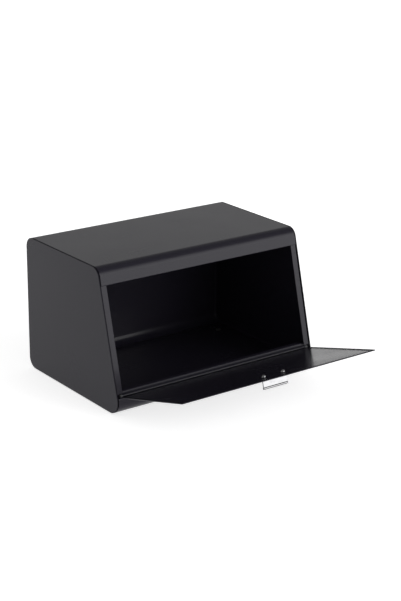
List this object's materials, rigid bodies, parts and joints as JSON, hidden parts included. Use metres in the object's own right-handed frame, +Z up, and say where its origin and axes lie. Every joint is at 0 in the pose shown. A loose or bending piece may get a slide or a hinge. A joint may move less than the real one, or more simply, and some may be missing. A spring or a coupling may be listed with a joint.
{
  "type": "bread bin",
  "caption": "Fall-front bread bin: a rounded bent-steel shell between flat side panels, with a leaning front door that drops open on a hinge rod and a small bracket handle.",
  "frame": {"origin": "on the standing surface, centred across the width and midway between the rear wall and the sharp lower front corner", "axes": "+Z up, -Y towards the front where the door opens, +X along the width, to the right of someone facing the front"},
  "size_m": [0.372, 0.4078, 0.218],
  "materials": {
    "powder_coat": "satin black powder coat",
    "plated_steel": "zinc plated",
    "polished_steel": "polished stainless steel",
    "black_plastic": "moulded, matt",
    "foot_rubber": "matt black rubber"
  },
  "bodies": {
    "body": {"shell_wrap": "powder_coat", "side_panel_left": "powder_coat", "side_panel_right": "powder_coat", "hinge_bracket_left": "plated_steel", "hinge_bracket_right": "plated_steel", "hinge_rod": "plated_steel", "rod_cap_left": "black_plastic", "rod_cap_right": "black_plastic", "foot_front_left": "foot_rubber", "foot_front_right": "foot_rubber", "foot_rear_left": "foot_rubber", "foot_rear_right": "foot_rubber"},
    "door": {"door_panel": "powder_coat", "handle": "polished_steel", "handle_screws": "polished_steel"}
  },
  "joints": [
    {"name": "door_hinge", "type": "hinge", "parent": "body", "child": "door", "pos_m": [0, -0.11964, 0.032], "axis": [-1, 0, 0], "range_deg": [0, 88.73]}
  ]
}
